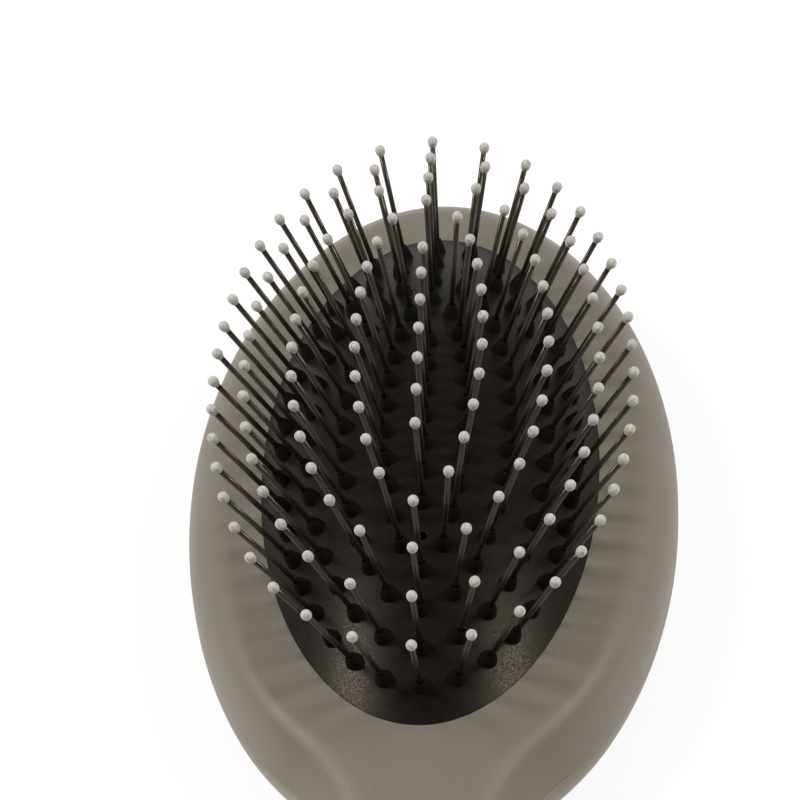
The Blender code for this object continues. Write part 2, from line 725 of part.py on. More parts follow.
def backing_strip(places):
    """A strip of backing under a group of pins, following the dome's underside."""
    pins = [Vector(place) for place in places]
    before = (pins[0] - pins[1]).normalized() * BACKING_WIDTH / 2
    after = (pins[-1] - pins[-2]).normalized() * BACKING_WIDTH / 2
    path = [pins[0] + before] + pins + [pins[-1] + after]
    bm = bmesh.new()
    stations = []
    for k, point in enumerate(path):
        along = path[min(k + 1, len(path) - 1)] - path[max(k - 1, 0)]
        stations.append([bm.verts.new(corner) for corner in backing_station(point.x, point.y, along)])
    for first, second in zip(stations, stations[1:]):
        bridge(bm, first, second)
    bm.faces.new(stations[0])
    bm.faces.new(stations[-1])
    bmesh.ops.recalc_face_normals(bm, faces=bm.faces[:])
    return bm


def build_pin_group(name, places, parts, tools, slide):
    steel = finish_material(name, (0.32, 0.31, 0.29), 0.3, 0.9)
    strip = new_object(name, backing_strip(places), parts, slide, steel)
    bm = bmesh.new()
    for x, y in places:
        add_pin(bm, x, y)
    bmesh.ops.recalc_face_normals(bm, faces=bm.faces[:])
    pins = new_object(f"{name}_wires", bm, tools, slide)
    pins.hide_render = True
    pins.display_type = "WIRE"
    boolean(strip, pins, "UNION")
    return strip


def build_pins(parts, tools, head):
    groups = ring_groups()
    rings = sorted({ring for ring, _, _ in groups})
    slides = {ring: new_empty(f"{ring}_slide", parts, head) for ring in rings}
    for ring, name, places in groups:
        build_pin_group(name, places, parts, tools, slides[ring])
    centre_slide = new_empty("centre_slide", parts, head)
    build_pin_group("centre_pins", centre_places(), parts, tools, centre_slide)


def main():
    clear_scene()
    parts = new_collection(BRUSH_NAME)
    tools = new_collection("tools")
    head = new_empty("head_centre", parts, None, (0.0, HEAD_CENTRE_Y, RIM_HEIGHT))
    build_face_shell(parts, tools, head)
    build_back_shell(parts, tools, head)
    build_tray(parts, head)
    build_membrane(parts, head)
    build_pins(parts, tools, head)


main()
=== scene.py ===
import math

import bpy
import numpy as np
from mathutils import Matrix, Vector


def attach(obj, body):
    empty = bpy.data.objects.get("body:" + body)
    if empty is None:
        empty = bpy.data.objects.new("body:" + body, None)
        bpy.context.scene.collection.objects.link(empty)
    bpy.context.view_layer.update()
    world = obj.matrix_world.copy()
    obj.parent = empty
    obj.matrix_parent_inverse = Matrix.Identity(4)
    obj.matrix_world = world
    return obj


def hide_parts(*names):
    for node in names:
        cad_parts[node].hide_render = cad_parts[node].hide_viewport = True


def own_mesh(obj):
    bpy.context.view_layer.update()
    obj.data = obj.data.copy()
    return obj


# A dog's pin brush. Shapes are worked out in mm about the middle of the cushion's rim, and addMesh
# puts them in the frame

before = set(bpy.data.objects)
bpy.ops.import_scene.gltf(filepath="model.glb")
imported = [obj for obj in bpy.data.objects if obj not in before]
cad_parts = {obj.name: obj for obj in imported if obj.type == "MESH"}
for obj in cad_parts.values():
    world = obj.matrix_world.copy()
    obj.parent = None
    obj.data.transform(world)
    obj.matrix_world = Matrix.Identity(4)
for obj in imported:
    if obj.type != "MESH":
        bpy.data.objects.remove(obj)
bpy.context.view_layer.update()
print("frame loaded")

mm = 0.001
headCentre = np.array([0.0, 53.0, 17.5])  # middle of the cushion's rim in the frame, in mm
brushBody = "brush_body"


# Small helpers


def linearFromHex(code):  # sRGB hex to linear colour
    parts = [int(code[k : k + 2], 16) / 255 for k in (0, 2, 4)]
    return [c / 12.92 if c <= 0.04045 else ((c + 0.055) / 1.055) ** 2.4 for c in parts] + [1.0]


def smoothStep(low, high, value):  # 3 t^2 - 2 t^3, with t from 0 at low to 1 at high
    share = np.clip((value - low) / (high - low), 0.0, 1.0)
    return share * share * (3.0 - 2.0 * share)


def addMesh(name, points, faces, smooth=True):  # points in mm about the cushion's rim centre
    mesh = bpy.data.meshes.new(name)
    mesh.from_pydata((points + headCentre) * mm, [], faces)
    mesh.polygons.foreach_set("use_smooth", [smooth] * len(mesh.polygons))
    mesh.update()
    piece = bpy.data.objects.new(name, mesh)
    bpy.context.scene.collection.objects.link(piece)
    return piece


def gridFaces(rows, columns, closedRows=False, closedColumns=False):
    # quads between neighbours of a rows by columns grid of points
    r = np.arange(rows if closedRows else rows - 1)
    c = np.arange(columns if closedColumns else columns - 1)
    r, c = np.meshgrid(r, c, indexing="ij")
    row = r * columns
    nextRow = (r + 1) % rows * columns
    nextC = (c + 1) % columns
    quads = np.stack([row + c, row + nextC, nextRow + nextC, nextRow + c], -1)
    return quads.reshape(-1, 4)


# Plan of the body, the right half, from the end of the handle to the far end of the head

bodyPlan = {  # the lengths FromHead run from the middle of the head
    "headWidth": 75.6,
    "headLength": 128.0,
    "headNearHalf": 65.2,  # the half towards the handle is a little longer
    "neckWidth": 25.4,
    "neckFromHead": 79.0,
    "gripWidth": 31.0,
    "gripFromHead": 128.0,
    "endFromHead": 170.0,
    "shoulderAngle": math.radians(-57.5),  # here the head's oval gives way to the neck
    "neckPull": 10.0,
    "gripPull": 19.0,
    "endSquareness": 0.84,  # 1 is an oval, less is fuller
    "steps": {"end": 56, "grip": 44, "neck": 44, "head": 150},
}


def bezierCurve(start, pullStart, pullEnd, end, count):
    # cubic curve: (1-t)^3 a + 3(1-t)^2 t b + 3(1-t) t^2 c + t^3 d
    t = np.linspace(0.0, 1.0, count + 1)[:, None]
    rest = 1.0 - t
    return start * rest**3 + 3 * pullStart * rest**2 * t + 3 * pullEnd * rest * t**2 + end * t**3


def bodyOutline():
    # half an oval for the head, a little longer towards the handle, two cubic curves for neck and
    # grip, and half an oval at the end, fuller by a power of its cosine
    p = bodyPlan
    halfWidth = p["headWidth"] / 2
    angle = np.linspace(p["shoulderAngle"], math.pi / 2, p["steps"]["head"] + 1)
    halfLength = np.where(angle < 0.0, p["headNearHalf"], p["headLength"] / 2)
    head = np.stack([halfWidth * np.cos(angle), halfLength * np.sin(angle)], 1)
    along = np.array([-halfWidth * math.sin(angle[0]), p["headNearHalf"] * math.cos(angle[0])])
    along /= np.linalg.norm(along)
    neck = np.array([p["neckWidth"] / 2, -p["neckFromHead"]])
    grip = np.array([p["gripWidth"] / 2, -p["gripFromHead"]])
    neckPull = np.array([0.0, p["neckPull"]])
    gripPull = np.array([0.0, p["gripPull"]])
    headPull = along * p["neckPull"]
    shoulder = bezierCurve(neck, neck + neckPull, head[0] - headPull, head[0], p["steps"]["neck"])
    handle = bezierCurve(grip, grip + gripPull, neck - gripPull, neck, p["steps"]["grip"])
    endAngle = np.linspace(-math.pi / 2, 0.0, p["steps"]["end"] + 1)
    across = np.abs(np.cos(endAngle)) ** p["endSquareness"]
    across[0] = 0.0
    length = p["endFromHead"] - p["gripFromHead"]
    end = np.stack([grip[0] * across, grip[1] + length * np.sin(endAngle)], 1)
    handlePoints = sum(p["steps"][k] for k in ("end", "grip", "neck")) + 1
    return np.concatenate([end, handle[1:], shoulder[1:], head[1:]]), handlePoints


def outwardNormals(outline):
    # square to the line through each point's two neighbours, mirrored past both ends
    ahead = np.vstack([outline[1:], outline[-2] * [-1, 1]])
    behind = np.vstack([outline[1] * [-1, 1], outline[:-1]])
    along = ahead - behind
    normal = np.stack([along[:, 1], -along[:, 0]], 1)
    return normal / np.linalg.norm(normal, axis=1)[:, None]


outline, handlePoints = bodyOutline()
normals = outwardNormals(outline)


# Grey soft-touch shells

shellShape = {
    "rimHeight": 17.5,
    "widestBelowRim": 10.5,
    "partingBelowRim": 9.0,
    "partingRise": 2.0,  # along the handle
    "partingRisesFrom": -46.0,
    "partingRisesTo": -64.0,
    "gripRise": 3.6,
    "gripEndDrop": 2.2,
    "neckDip": 0.8,
    "neckDipReach": 16.0,
    "edgeRound": 7.0,
    "edgeDrop": 8.5,
    "crestIn": 7.6,  # the crest's upper and lower edge, inwards from the outline
    "crestOut": 3.3,
    "crestDrop": 2.0,
    "crestTurn": math.radians(64),
    "flankFullness": 0.8,
    "flankFoot": 0.2,  # above the parting line
    "flankStarts": -146.0,
    "flankFullFrom": -108.0,
    "flankFullTo": -58.0,
    "flankGone": -24.0,
    "crestNarrowing": 0.63,
    "crestNarrowsFrom": -66.0,
    "crestNarrowsTo": -34.0,
    "backRound": 7.0,
    "backSteps": 28,
    "landMargin": 1.6,  # of backRound, from the body's end to the end of the land's middle line
    "landSteps": 7,
    "tongueGap": 0.3,
    "tongueHeight": 1.3,
    "tongueWidth": 1.0,
    "wall": 2.2,
    "haunchDepth": 7.5,
    "haunchReach": 3.9,
    "haunch": ((0.0, 0.0), (0.4, 0.45), (1.0, 0.85)),
    "ceilingShares": (0.25, 1.0),
    "partingGap": (0.05, 0.22),  # beside the head and along the handle
    "partingRound": 0.02,
    "partingSteps": 4,
    "lipRound": 0.1,
    "lipSteps": 4,
    "openingGap": 0.03,
    "wornAndGlintShare": 0.2,  # of the edge, where hands rub it most and its painted glints sit on the crest
    "wornAndGlintReach": 0.14,
    "edgeSteps": 49,
    "faceSteps": 18,
}
cushionHalf = np.array([25.85, 51.1])  # half width and half length of the dome's rim


def topLift(y):
    # a bell-shaped dip at the neck, a smooth step up to the grip and one down to the end
    s, p = shellShape, bodyPlan
    dip = np.exp(-(((y + p["neckFromHead"]) / s["neckDipReach"]) ** 2))
    swell = smoothStep(-p["neckFromHead"], -p["gripFromHead"], y)
    droop = smoothStep(-p["gripFromHead"], -p["endFromHead"], y)
    return -s["neckDip"] * dip + s["gripRise"] * swell - s["gripEndDrop"] * droop


def flankStrength(y):
    # two smooth steps: full at the neck, gone beside the head and at the handle's end
    s = shellShape
    beside = 1.0 - smoothStep(s["flankFullTo"], s["flankGone"], y)
    return beside * smoothStep(s["flankStarts"], s["flankFullFrom"], y)


def partingLift(y):  # a smooth step up, from beside the head to the handle
    s = shellShape
    return s["partingRise"] * smoothStep(-s["partingRisesFrom"], -s["partingRisesTo"], -y)


def partingGap(y):  # opens up evenly with the parting line's rise
    s = shellShape
    narrow, wide = s["partingGap"]
    return narrow + (wide - narrow) * partingLift(y) / s["partingRise"]


def liftedHeight(z, y):
    # heights of the upper shell move with the top there, and with the parting line below
    share = -z / shellShape["partingBelowRim"]
    return z + (1.0 - share) * topLift(y) + share * partingLift(y)


def backHeight(z, y):
    # heights of the back shell stay at the flat back, and move with the parting line above
    s = shellShape
    fromBack = (z + s["rimHeight"]) / (s["rimHeight"] - s["partingBelowRim"])
    share = np.minimum(fromBack, -z / s["partingBelowRim"])
    return z + share * partingLift(y)


def insetRow(inset, heights):
    # the outline moved inwards along its normals, at these heights
    plan = outline - normals * inset
    plan[[0, -1], 0] = 0.0
    return np.column_stack([plan, np.broadcast_to(heights, len(outline))])


def edgeRow(share):
    # from the flat face, share 0, out and down to the parting line, share 1. Beside the head it is
    # a quarter oval. Towards the neck its first half is a crest, which turns as an oval through
    # crestTurn, and the rest is a flank, whose inset falls with the power flankFullness of its
    # depth. The two mix by flankStrength, and the crest runs out to the side of the head by
    # crestNarrowing
    s = shellShape
    y = outline[:, 1]
    width = 1.0 - s["crestNarrowing"] * smoothStep(s["crestNarrowsFrom"], s["crestNarrowsTo"], y)
    angle = share * math.pi / 2
    headInset = s["edgeRound"] * (1 - math.sin(angle))
    headHeight = -s["edgeDrop"] * (1 - math.cos(angle))
    if share < 0.5:
        turn = 2 * share * s["crestTurn"]
        reach = math.sin(turn) / math.sin(s["crestTurn"])
        depth = s["crestDrop"] / (1 - math.cos(s["crestTurn"]))
        flankInset = s["crestIn"] - (s["crestIn"] - s["crestOut"]) * reach
        flankHeight = -depth * (1 - math.cos(turn))
    else:
        down = 2 * share - 1
        depth = s["partingBelowRim"] - s["flankFoot"] - s["crestDrop"]
        flankInset = s["crestOut"] * (1 - down ** s["flankFullness"])
        flankHeight = -s["crestDrop"] - depth * down
    strength = flankStrength(y)
    inset = headInset + strength * (width * flankInset - headInset)
    height = headHeight + strength * (flankHeight - headHeight)
    return insetRow(inset[:, None], liftedHeight(height, y))


def middleLine(points, firstY, lastY):
    # on x = 0 from firstY to lastY, spaced as the points are along y
    share = (points[:, 1] - points[0, 1]) / (points[-1, 1] - points[0, 1])
    return np.stack([np.zeros(len(points)), firstY + share * (lastY - firstY)], 1)


def openingLine(gap):
    # beside the head the oval opening for the cushion, along the handle the body's middle, and the
    # oval's outward direction at each point
    angle = np.linspace(-math.pi / 2, math.pi / 2, len(outline) - handlePoints + 1)
    half = cushionHalf + gap
    opening = np.stack([half[0] * np.cos(angle), half[1] * np.sin(angle)], 1)
    away = np.stack([np.cos(angle) / half[0], np.sin(angle) / half[1]], 1)
    away /= np.linalg.norm(away, axis=1)[:, None]
    opening[[0, -1], 0] = 0.0
    away[[0, -1], 0] = 0.0
    endY = -bodyPlan["endFromHead"] + 2 * shellShape["edgeRound"]
    line = np.concatenate([middleLine(outline[:handlePoints], endY, opening[0, 1]), opening[1:]])
    return line, np.concatenate([np.zeros((handlePoints - 1, 2)), away])


joinWithin = 0.0005  # mm; points closer than this are one


def halfToWhole(name, rows, wallRows, wallStart, worn=None):
    # quads between the rows, then the same mirrored at x = 0 and joined along the middle. The last
    # rows are the wall of the opening, which starts at its own column and joins up with the first
    # row. worn is each point's share of the crest's rubbed spots, partly wear and partly painted
    # highlight, for the finish
    grid = np.array(rows)
    count = grid.shape[1]
    faces = gridFaces(len(grid) - wallRows, count)
    wall = gridFaces(wallRows + 2, count)
    rowStart = (np.arange(wallRows + 2) + len(grid) - wallRows - 1) % len(grid) * count
    wall = wall[wall[:, 0] % count >= wallStart]
    wall = rowStart[wall // count] + wall % count
    faces = np.concatenate([faces, wall])
    points = grid.reshape(-1, 3)
    both = np.concatenate([points, points * [-1, 1, 1]])
    faces = np.concatenate([faces, faces[:, ::-1] + len(points)])
    keys = np.round(both / joinWithin).astype(np.int64)
    _, first, same = np.unique(keys, axis=0, return_index=True, return_inverse=True)
    faces = same.reshape(-1)[faces]
    kept = [list(dict.fromkeys(face)) for face in faces.tolist()]
    kept = [face for face in kept if len(face) > 2]
    piece = addMesh(name, both[first], kept)
    if worn is not None:
        wearAndGlint = piece.data.attributes.new("crestWearAndGlint", "FLOAT", "POINT")
        wearAndGlint.data.foreach_set("value", np.tile(worn.reshape(-1), 2)[first])
    return piece


def planBetween(start, end, share):
    # straight in plan from one line, share 0, to another, share 1
    plan = start + (end - start) * share
    plan[[0, -1], 0] = 0.0
    return plan


def buildFaceShell():
    # rows of points from the opening out over the flat face, down the edge to the parting line, and
    # back in along the wall, the haunch and the ceiling to the opening's own wall
    s = shellShape
    y = outline[:, 1]
    outer = edgeRow(0.0)[:, :2]
    lip, away = openingLine(s["openingGap"])
    edgeOfLip = lip + away * s["lipRound"]
    rows = []
    for share in np.linspace(1.0, 0.0, s["faceSteps"] + 1)[:-1]:
        plan = planBetween(outer, edgeOfLip, share)
        rows.append(np.column_stack([plan, topLift(plan[:, 1])]))
    shares = np.linspace(0.0, 1.0, s["edgeSteps"])
    crest = slice(len(rows), len(rows) + len(shares))
    rows += [edgeRow(share) for share in shares]
    edge = -s["partingBelowRim"] + partingGap(y) / 2 + partingLift(y)
    r = s["partingRound"]
    for a in np.linspace(0.0, math.pi / 2, s["partingSteps"]):  # small round into the parting line
        rows.append(insetRow(r * (1 - math.cos(a)), edge + r * (1 - math.sin(a))))
    rows.append(insetRow(s["wall"], edge))
    for reach, rise in s["haunch"]:  # inner side, which leans in under the ceiling
        height = -s["haunchDepth"] + rise * (s["haunchDepth"] - s["wall"])
        rows.append(insetRow(s["wall"] + s["haunchReach"] * reach, liftedHeight(height, y)))
    for share in s["ceilingShares"]:
        plan = planBetween(outer, lip, share)
        rows.append(np.column_stack([plan, topLift(plan[:, 1]) - s["wall"]]))
    turns = np.linspace(math.pi / 2, 0.0, s["lipSteps"] + 1)[:-1]
    for a in turns:  # up the wall beside the cushion and round its small lip
        plan = lip + away * s["lipRound"] * (1 - math.sin(a))
        height = topLift(plan[:, 1]) - s["lipRound"] * (1 - math.cos(a))
        rows.append(np.column_stack([plan, height]))
    worn = np.zeros((len(rows), len(outline)))  # a bell curve over the crest, where hands rub it and its painted glints sit
    bell = np.exp(-(((shares - s["wornAndGlintShare"]) / s["wornAndGlintReach"]) ** 2))
    worn[crest] = bell[:, None] * flankStrength(y) ** 2
    return halfToWhole("faceShell", rows, len(turns), handlePoints - 1, worn)


def buildBackShell():
    # rows of points from the middle of the flat land out, up a quarter oval to the widest line and
    # on to the parting line, over the tongue, and down inside to the middle
    s = shellShape
    y = outline[:, 1]
    parting = -s["partingBelowRim"]
    widest = -s["widestBelowRim"]
    bottom = -s["rimHeight"]
    margin = s["landMargin"] * s["backRound"]
    middle = middleLine(outline, outline[0, 1] + margin, outline[-1, 1] - margin)
    land = insetRow(s["backRound"], bottom)[:, :2]
    rows = []
    for share in np.linspace(0.0, 1.0, s["landSteps"] + 1)[:-1]:
        plan = planBetween(middle, land, share)
        rows.append(np.column_stack([plan, np.full(len(outline), bottom)]))
    for a in np.linspace(math.pi / 2, 0.0, s["backSteps"]):
        inset = s["backRound"] * (1 - math.cos(a))
        rows.append(insetRow(inset, backHeight(widest - (widest - bottom) * math.sin(a), y)))
    edge = parting - partingGap(y) / 2
    r = s["partingRound"]
    for a in np.linspace(0.0, math.pi / 2, s["partingSteps"]):
        rows.append(insetRow(r * (1 - math.cos(a)), backHeight(edge - r * (1 - math.sin(a)), y)))
    tongueOut = s["wall"] + s["tongueGap"]
    tongueIn = tongueOut + s["tongueWidth"]
    top = parting + s["tongueHeight"]
    inside = ((tongueOut, edge), (tongueOut, top), (tongueIn, top), (tongueIn, widest))
    rows += [insetRow(inset, backHeight(z, y)) for inset, z in inside]
    insideBottom = bottom + s["wall"]
    rows.append(insetRow(s["backRound"], insideBottom))
    rows.append(np.column_stack([middle, np.full(len(outline), insideBottom)]))
    return halfToWhole("backShell", rows, 0, len(outline))


# Rubber cushion

cushionShape = {
    "rise": 10.9,
    "power": 2.15,
    "rubber": 1.5,
    "flangeReach": 4.2,
    "flangeTop": -2.5,
    "ventRadius": 0.7,
    "ventRound": 0.12,
    "ventTurns": (0.0, 0.4, 0.8, 1.2),
    "rimSharpness": 0.001,
    "around": 256,
    "outSteps": 72,
    "underSteps": 18,
    "bossSides": 16,
    "boss": (  # height along the pin and radius: up from the foot, over the top and into the hole
        (-0.6, 1.5),
        (0.0, 1.42),
        (0.12, 1.33),
        (0.4, 1.28),
        (1.2, 1.1),
        (2.1, 0.74),
        (2.24, 0.68),
        (2.3, 0.62),
        (2.27, 0.52),
        (1.4, 0.46),
    ),
}


def domeHeight(x, y):  # rise times 1 - r^power, where r is 1 on the rim's oval
    r = np.hypot(x / cushionHalf[0], y / cushionHalf[1])
    return cushionShape["rise"] * (1 - np.minimum(r, 1.0) ** cushionShape["power"])


def domeNormals(places):  # (-dz/dx, -dz/dy, 1) of the same formula, made a unit long
    c = cushionShape
    r = np.hypot(*(places / cushionHalf).T)
    slope = -c["rise"] * c["power"] * r[:, None] ** (c["power"] - 2) * places / cushionHalf**2
    normal = np.column_stack([-slope, np.ones(len(places))])
    return normal / np.linalg.norm(normal, axis=1)[:, None]


# Pins

pinField = {
    "wireRadius": 0.42,
    "wireSides": 10,
    "wireIntoTip": 0.5,
    "patternStep": 3.0,  # moves the streaks on from one wire to the next
    "reach": 18.9,  # from the dome to the middle of the tip
    "leanAcross": 0.88,
    "leanDroop": 0.31,
    "leanAlong": 0.25,
    "leanSpread": 1.09,
    "counts": (40, 32, 28, 22),  # of the four rings, from the outer one in
    "endCounts": (11, 7, 7, 5),
    "sharesAcross": (0.853, 0.691, 0.475, 0.226),  # of the rim's oval
    "sharesAlong": (0.896, 0.789, 0.675, 0.555),
    "ringSamples": 1441,
    "centreCount": 7,
    "centrePitch": 5.63,
    "tipRadius": 0.8,
    "tipTaper": 1.1,
    "tipNeck": ((0.0, 0.44), (0.2, 0.52), (0.5, 0.7), (0.8, 0.78)),
    "tipAngles": (0, 20, 40, 58, 74, 86),
    "tipSides": 14,
    "foot": 0.45,  # how deep the wire stands in its backing
    "backingGap": 0.4,
    "backingWidth": 2.2,
    "backingThickness": 0.8,
}


def pinDirections(places):
    # leans out across with a slight droop, and out along, steeper towards the ends
    p = pinField
    u = places[:, 0] / cushionHalf[0]
    v = places[:, 1] / cushionHalf[1]
    across = p["leanAcross"] * u * (1 - p["leanDroop"] * u**2)
    along = p["leanAlong"] * v * (1 + p["leanSpread"] * v**2)
    lean = np.stack([across, along, np.ones(len(u))], 1)
    return lean / np.linalg.norm(lean, axis=1)[:, None]


def ringPlaces(count, shareAcross, shareAlong):
    # equal lengths along an oval, from its near end round the right side
    angle = np.linspace(-math.pi / 2, 1.5 * math.pi, pinField["ringSamples"])
    x = cushionHalf[0] * shareAcross * np.cos(angle)
    y = cushionHalf[1] * shareAlong * np.sin(angle)
    length = np.concatenate([[0.0], np.cumsum(np.hypot(np.diff(x), np.diff(y)))])
    wanted = np.arange(count) * length[-1] / count
    return np.stack([np.interp(wanted, length, x), np.interp(wanted, length, y)], 1)


def pinGroups():  # node name, body name and places of each group
    p = pinField
    groups = []
    rings = zip(p["counts"], p["endCounts"], p["sharesAcross"], p["sharesAlong"])
    for number, (count, endCount, across, along) in enumerate(rings, 1):
        places = ringPlaces(count, across, along)
        sideCount = (count - 2 * endCount) // 2
        first = -(endCount // 2)
        sizes = (endCount, sideCount, endCount, sideCount)
        for side, size in zip(("near", "right", "far", "left"), sizes):
            chosen = places[(first + np.arange(size)) % count]
            groups.append((f"ring_{number}_pins_{side}", f"ring_{number}", chosen))
            first += size
    y = (np.arange(p["centreCount"]) - (p["centreCount"] - 1) / 2) * p["centrePitch"]
    groups.append(("centre_pins", "centre_row", np.stack([np.zeros(len(y)), y], 1)))
    return groups


def turnedAlong(places, profile, sides):
    # one turned shape for each pin: circles of a profile's radii, square to the pin's axis
    surface = np.column_stack([places, domeHeight(places[:, 0], places[:, 1])])
    axis = pinDirections(places)
    side = np.cross(axis, [0.0, 1.0, 0.0])
    side /= np.linalg.norm(side, axis=1)[:, None]
    other = np.cross(axis, side)
    turn = np.linspace(0.0, 2 * math.pi, sides, endpoint=False)[None, :, None]
    along, radius = np.array(profile, float).T
    circle = side[:, None] * np.cos(turn) + other[:, None] * np.sin(turn)
    middle = surface[:, None] + axis[:, None] * along[None, :, None]
    return middle[:, :, None] + circle[:, None] * radius[None, :, None, None]


def closedTurns(rings):
    # faces for a stack of circles per pin, with a cap on each end
    pins, levels, sides, _ = rings.shape
    one = gridFaces(levels, sides, closedColumns=True)
    faces = []
    for k in range(pins):
        start = k * levels * sides
        faces += (one[:, ::-1] + start).tolist()
        faces.append((np.arange(sides) + start).tolist())
        faces.append((np.arange(sides)[::-1] + start + (levels - 1) * sides).tolist())
    return faces


groups = pinGroups()
ringFourNear = -cushionHalf[1] * pinField["sharesAlong"][-1]
centreNear = -(pinField["centreCount"] - 1) / 2 * pinField["centrePitch"]
ventPlace = np.array([0.0, (ringFourNear + centreNear) / 2])  # halfway between the two


def ventToRim(share, half, vent):
    # straight in plan from a circle about the vent, share 0, to an oval of the rim's kind, share 1
    turn = np.linspace(0.0, 2 * math.pi, cushionShape["around"], endpoint=False)
    circle = np.stack([np.cos(turn), np.sin(turn)], 1)
    return (ventPlace + circle * vent) * (1 - share) + circle * half * share


def buildCushion():
    # rows of points over the dome from the vent to the rim, round the flange, back along the
    # underside, and up the vent's wall and round its edge
    c = cushionShape
    rows = []
    wide = c["ventRadius"] + c["ventRound"]
    shares = np.append(np.linspace(0.0, 1.0 - c["rimSharpness"], c["outSteps"]), 1.0)
    for share in shares:  # the last two rows are close, to keep the rim crisp
        plan = ventToRim(share, cushionHalf, wide)
        rows.append(np.column_stack([plan, domeHeight(*plan.T)]))
    top, reach = c["flangeTop"], c["flangeReach"]
    under = top - c["rubber"]
    for outset, z in ((0.0, top), (reach, top), (reach, under), (-c["rubber"], under)):
        plan = ventToRim(1.0, cushionHalf + outset, wide)
        rows.append(np.column_stack([plan, np.full(len(plan), z)]))
    for share in np.linspace(1.0, 0.0, c["underSteps"]):
        plan = ventToRim(share, cushionHalf - c["rubber"], c["ventRadius"])
        rows.append(np.column_stack([plan, domeHeight(*plan.T) - c["rubber"]]))
    for a in c["ventTurns"]:
        plan = ventToRim(0.0, cushionHalf, c["ventRadius"] + c["ventRound"] * (1 - math.cos(a)))
        height = domeHeight(*plan.T) - c["ventRound"] * (1 - math.sin(a))
        rows.append(np.column_stack([plan, height]))
    grid = np.array(rows)
    faces = gridFaces(len(grid), c["around"], closedRows=True, closedColumns=True)[:, ::-1]
    return addMesh("rubberDome", grid.reshape(-1, 3), faces.tolist())


def buildBosses(body, places):
    # the bosses of one body's pins, turned about the pins' axes. They ride with the pins, and their
    # feet stay sunk in the dome
    c = cushionShape
    rings = turnedAlong(places, c["boss"], c["bossSides"])
    bosses = addMesh(body + "_bosses", rings.reshape(-1, 3), closedTurns(rings))
    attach(bosses, body)
    return bosses


def buildPins(name, body, places):
    # each wire is a tube from the backing up into its tip, and each tip widens from the wire into
    # half a ball; both are turned about the pin's axis
    p = pinField
    group = name.replace("_pins", "")
    foot = -cushionShape["rubber"] - p["backingGap"] - p["foot"]
    neck = p["reach"] - p["tipTaper"]
    ends = (foot, neck + p["wireIntoTip"])
    wires = turnedAlong(places, [(z, p["wireRadius"]) for z in ends], p["wireSides"])
    wirePiece = addMesh(group + "_wires", wires.reshape(-1, 3), closedTurns(wires))
    turn = np.linspace(0.0, 2 * math.pi, p["wireSides"], endpoint=False)
    step = p["patternStep"] * np.arange(len(places))[:, None, None]
    wirePlace = np.empty(wires.shape)  # round the wire in x and y, and along it in z, in mm
    wirePlace[..., 0] = p["wireRadius"] * np.cos(turn) + step
    wirePlace[..., 1] = p["wireRadius"] * np.sin(turn)
    wirePlace[..., 2] = np.array(ends)[:, None]
    attribute = wirePiece.data.attributes.new("wirePlace", "FLOAT_VECTOR", "POINT")
    attribute.data.foreach_set("vector", wirePlace.reshape(-1))
    r = p["tipRadius"]
    tipProfile = [(neck + z, radius) for z, radius in p["tipNeck"]]
    ball = np.radians(p["tipAngles"])
    tipProfile += [(p["reach"] + r * math.sin(a), r * math.cos(a)) for a in ball]
    tips = turnedAlong(places, tipProfile, p["tipSides"])
    tipPiece = addMesh(group + "_tips", tips.reshape(-1, 3), closedTurns(tips))
    for piece in (wirePiece, tipPiece):
        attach(piece, body)
    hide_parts(name)
    return wirePiece, tipPiece


def buildBacking(name, body, places):
    # a strip under the dome with the feet of a group's pins in it: a rectangle square to the strip
    # and tilted with the dome, carried from half a width before the first pin to half a width after
    # the last
    p = pinField
    half = p["backingWidth"] / 2
    before = places[0] - places[1]
    after = places[-1] - places[-2]
    first = places[0] + before / np.linalg.norm(before) * half
    last = places[-1] + after / np.linalg.norm(after) * half
    path = np.vstack([first, places, last])
    along = np.gradient(path, axis=0)
    along /= np.linalg.norm(along, axis=1)[:, None]
    outward = np.stack([along[:, 1], -along[:, 0]], 1)
    normal = domeNormals(path)
    direction = pinDirections(path)
    depth = (cushionShape["rubber"] + p["backingGap"]) / (direction * normal).sum(1)
    centre = np.column_stack([path, domeHeight(*path.T)]) - direction * depth[:, None]
    tilt = -(normal[:, :2] * outward).sum(1) / normal[:, 2]
    thick = p["backingThickness"]
    corners = []
    for side, drop in ((-half, 0.0), (half, 0.0), (half, thick), (-half, thick)):
        corners.append(centre + np.column_stack([outward * side, tilt * side - drop]))
    points = np.stack(corners, 1).reshape(-1, 3)
    faces = gridFaces(len(path), 4, closedColumns=True).tolist()
    faces += [[3, 2, 1, 0], [len(points) - 4 + k for k in range(4)]]
    backing = addMesh(name.replace("_pins", "") + "_backing", points, faces, smooth=False)
    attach(backing, body)
    return backing


# Materials


def addNode(tree, kind, settings, inputs):
    # a node with its settings, and its inputs set or linked. A colour Mix has its factor at input 0
    # and its two colours at 6 and 7
    node = tree.nodes.new(kind)
    for key, value in settings.items():
        setattr(node, key, value)
    for key, value in inputs.items():
        if isinstance(value, bpy.types.NodeSocket):
            tree.links.new(value, node.inputs[key])
        else:
            node.inputs[key].default_value = value
    return node


def newFinish(name, color, roughness, metallic=0.0):
    # a Principled material with plain values, which a pattern linked later takes over
    material = bpy.data.materials.new(name)
    material.use_nodes = True
    tree = material.node_tree
    shader = tree.nodes["Principled BSDF"]
    shader.inputs["Base Color"].default_value = linearFromHex(color)
    shader.inputs["Roughness"].default_value = roughness
    shader.inputs["Metallic"].default_value = metallic
    return material, tree, shader


def perMetre(size):  # pattern scale for a real size in mm
    return 1000.0 / size


noiseLow, noiseHigh = 0.3, 0.7  # nearly all of a noise lies between these

